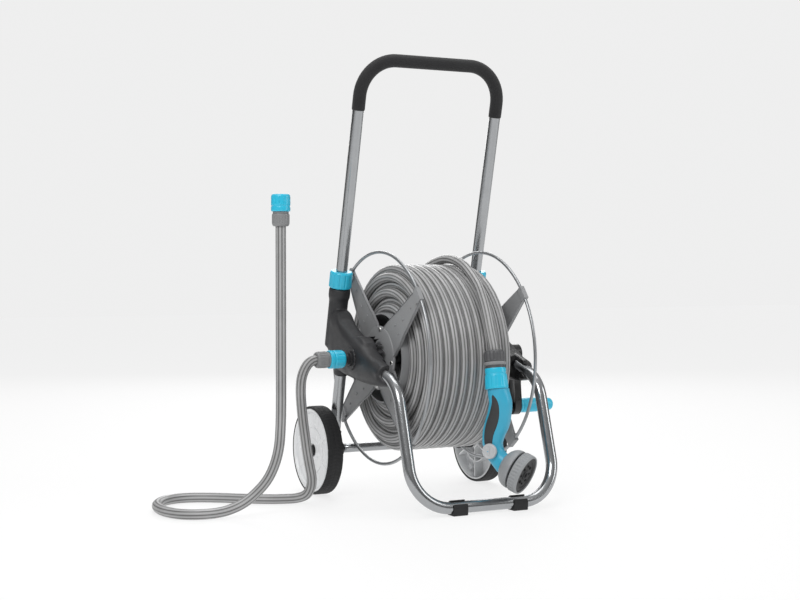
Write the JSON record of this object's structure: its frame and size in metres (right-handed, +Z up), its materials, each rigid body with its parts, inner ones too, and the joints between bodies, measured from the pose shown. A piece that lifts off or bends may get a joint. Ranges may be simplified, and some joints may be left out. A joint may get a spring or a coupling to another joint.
{
  "type": "garden hose reel cart",
  "caption": "Two-wheeled tube-frame cart with a sliding handle, a cranked reel of wound hose, a hanging spray gun and a feed hose with a tap connector.",
  "frame": {"origin": "on the floor, below the middle of the object's box measured without its hoses", "axes": "+Z up, X along the reel axis with the crank towards +X and the water inlet towards -X, front (spray gun and front bar) towards -Y"},
  "size_m": [0.7517, 0.4473, 0.7755],
  "materials": {
    "polished_tube": "polished, bright reflections",
    "foam_grip": "fine matte foam",
    "blue_plastic": "semi-gloss moulded",
    "white_plastic": "plain moulded",
    "charcoal_plastic": "fine textured satin",
    "black_plastic": "semi-gloss",
    "plated_steel": "zinc plated",
    "black_rubber": "matte",
    "tyre_rubber": "matte with a fine tread",
    "rim_plastic": "semi-gloss moulded",
    "reel_plastic": "satin moulded",
    "ring_wire": "satin coated",
    "outlet_plastic": "plain moulded",
    "hose_pvc": "semi-gloss PVC with fine stripes",
    "connector_grey": "satin moulded",
    "connector_dark": "satin moulded",
    "gun_grip_rubber": "fine matte texture",
    "gun_grey": "satin moulded",
    "knob_grey": "semi-gloss",
    "nozzle_black": "satin moulded"
  },
  "bodies": {
    "root": {"collet_left": "white_plastic", "collet_right": "white_plastic", "bracket_left": "charcoal_plastic", "bracket_right": "black_plastic", "bracket_screws": "plated_steel", "front_tube": "polished_tube", "foot_left": "black_rubber", "foot_right": "black_rubber", "rear_leg_left": "polished_tube", "rear_leg_right": "polished_tube", "axle_clamp_left": "charcoal_plastic", "axle_clamp_right": "charcoal_plastic", "axle_tube": "polished_tube", "axle_rod": "plated_steel", "axle_washers": "plated_steel", "axle_caps": "black_plastic", "bush_left": "white_plastic", "bush_right": "white_plastic", "inlet_nipple": "charcoal_plastic", "nipple_seals": "black_rubber", "inlet_connector": "connector_grey", "inlet_nut": "connector_grey", "feed_hose": "hose_pvc", "tap_connector": "connector_grey", "tap_nut": "connector_grey", "hose_tail": "hose_pvc", "gun_connector": "connector_dark", "gun_nut": "connector_dark"},
    "handle": {"handle_tube": "polished_tube", "handle_grip": "foam_grip"},
    "collar_left": {"collar_left": "blue_plastic"},
    "collar_right": {"collar_right": "blue_plastic"},
    "wheel_left": {"tyre_left": "tyre_rubber", "rim_left": "rim_plastic"},
    "wheel_right": {"tyre_right": "tyre_rubber", "rim_right": "rim_plastic"},
    "reel": {"drum": "reel_plastic", "flange_left": "reel_plastic", "flange_right": "reel_plastic", "ring_left": "ring_wire", "ring_right": "ring_wire", "flange_screws": "plated_steel", "drum_outlet": "outlet_plastic", "hose_winding": "hose_pvc", "crank_shaft": "plated_steel", "crank_arm": "black_plastic", "crank_pin": "plated_steel"},
    "crank_grip": {"crank_grip": "blue_plastic"},
    "inlet_sleeve": {"inlet_sleeve": "blue_plastic"},
    "tap_sleeve": {"tap_sleeve": "blue_plastic"},
    "gun_sleeve": {"gun_sleeve": "blue_plastic"},
    "gun": {"gun_nipple": "charcoal_plastic", "gun_body": "blue_plastic", "gun_inset": "gun_grip_rubber", "gun_shroud": "gun_grey"},
    "gun_head": {"gun_ring": "gun_grey", "gun_face": "nozzle_black"},
    "gun_knob": {"gun_knob": "knob_grey"}
  },
  "joints": [
    {"name": "handle_slide", "type": "slide", "parent": "root", "child": "handle", "axis": [0, -0.2317, 0.9728], "range_m": [-0.12, 0]},
    {"name": "collar_left_twist", "type": "hinge", "parent": "root", "child": "collar_left", "pos_m": [-0.1712, 0.11173, 0.38054], "axis": [0, -0.2317, 0.9728], "range_deg": [0, 60]},
    {"name": "collar_right_twist", "type": "hinge", "parent": "root", "child": "collar_right", "pos_m": [0.1048, 0.11173, 0.38054], "axis": [0, -0.2317, 0.9728], "range_deg": [-60, 0]},
    {"name": "wheel_left_spin", "type": "hinge", "parent": "root", "child": "wheel_left", "pos_m": [-0.2017, 0.14472, 0.079], "axis": [1, 0, 0], "continuous": true},
    {"name": "wheel_right_spin", "type": "hinge", "parent": "root", "child": "wheel_right", "pos_m": [0.1353, 0.14472, 0.079], "axis": [1, 0, 0], "continuous": true},
    {"name": "reel_spin", "type": "hinge", "parent": "root", "child": "reel", "pos_m": [-0.0332, 0.0327, 0.2483], "axis": [-1, 0, 0], "continuous": true},
    {"name": "crank_grip_spin", "type": "hinge", "parent": "reel", "child": "crank_grip", "pos_m": [0.1868, 0.0327, 0.1523], "axis": [1, 0, 0], "continuous": true},
    {"name": "inlet_sleeve_slide", "type": "slide", "parent": "root", "child": "inlet_sleeve", "axis": [-1, 0, 0], "range_m": [0, 0.003], "stiffness_N_per_m": 400, "springref_m": -0.002},
    {"name": "tap_sleeve_slide", "type": "slide", "parent": "root", "child": "tap_sleeve", "axis": [0, 0, -1], "range_m": [0, 0.003], "stiffness_N_per_m": 400, "springref_m": -0.002},
    {"name": "gun_sleeve_slide", "type": "slide", "parent": "root", "child": "gun_sleeve", "axis": [0, 0.1564, 0.9877], "range_m": [0, 0.0036], "stiffness_N_per_m": 400, "springref_m": -0.002},
    {"name": "gun_swivel", "type": "hinge", "parent": "root", "child": "gun", "pos_m": [-0.0137, -0.1608, 0.204], "axis": [0, 0.1564, 0.9877], "range_deg": [-60, 60]},
    {"name": "gun_head_turn", "type": "hinge", "parent": "gun", "child": "gun_head", "pos_m": [0.01804, -0.20325, 0.062], "axis": [0.5081, -0.7676, -0.3907], "continuous": true},
    {"name": "gun_knob_turn", "type": "hinge", "parent": "gun", "child": "gun_knob", "pos_m": [-0.0294, -0.16329, 0.101], "axis": [-0.8339, -0.5519, 0], "range_deg": [0, 90]}
  ]
}
